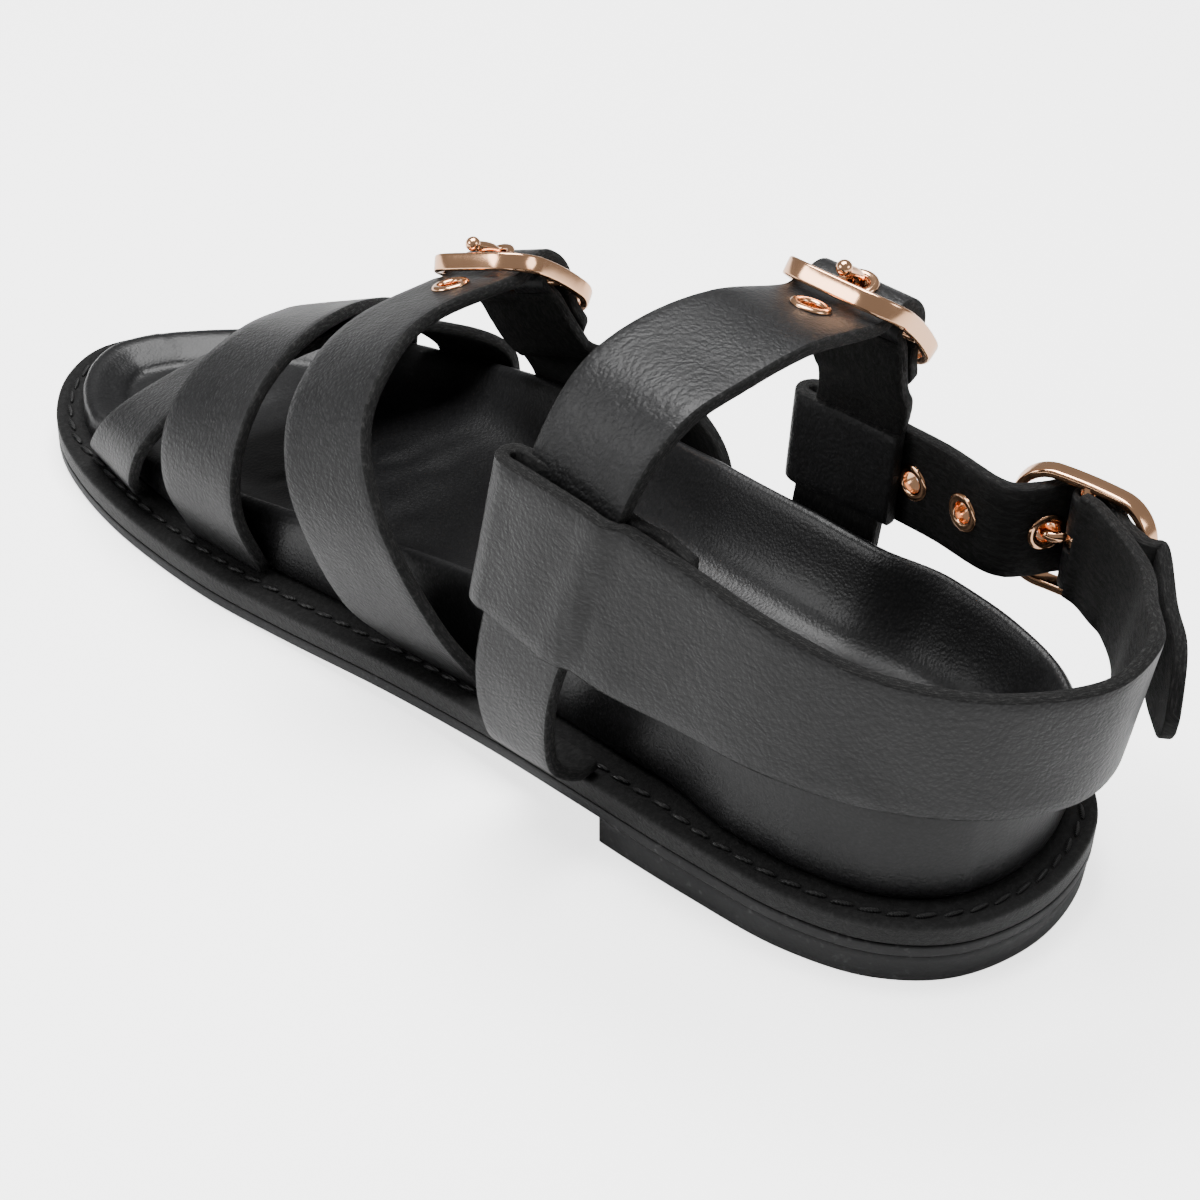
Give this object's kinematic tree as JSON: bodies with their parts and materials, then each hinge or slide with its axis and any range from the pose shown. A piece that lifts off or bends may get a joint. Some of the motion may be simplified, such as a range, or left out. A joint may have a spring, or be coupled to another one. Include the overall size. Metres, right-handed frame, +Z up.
{
  "type": "gladiator sandal",
  "caption": "Right-foot flat gladiator sandal with crossed toe straps and buckled instep, ankle and heel straps on a contoured footbed with a welted sole.",
  "frame": {"origin": "middle of the heel's ground face", "axes": "+Y from the heel to the toe, +X to the outer (lateral) side of the right foot, +Z up from the ground"},
  "size_m": [0.1034, 0.2662, 0.1031],
  "materials": {
    "sole_rubber": "smooth satin dark grey rubber",
    "welt": "rough matt black edge with a stitched seam",
    "footbed_leather": "smooth black leather, soft sheen",
    "strap_leather": "fine-grained black leather, satin",
    "rose_gold": "polished rose-gold plating"
  },
  "bodies": {
    "root": {"outsole": "sole_rubber", "midsole": "welt", "footbed": "footbed_leather", "straps_toe": "strap_leather", "strap_instep_medial": "strap_leather", "strap_instep_lateral": "strap_leather", "strap_ankle_heel": "strap_leather", "strap_ankle_lateral": "strap_leather", "buckle_instep": "rose_gold", "pin_instep": "rose_gold", "eyelet_instep_1": "rose_gold", "eyelet_instep_2": "rose_gold", "buckle_ankle": "rose_gold", "pin_ankle": "rose_gold", "eyelet_ankle_1": "rose_gold", "eyelet_ankle_2": "rose_gold", "buckle_heel": "rose_gold", "pin_heel": "rose_gold", "eyelet_heel_1": "rose_gold", "eyelet_heel_2": "rose_gold", "eyelet_heel_3": "rose_gold"}
  },
  "joints": []
}
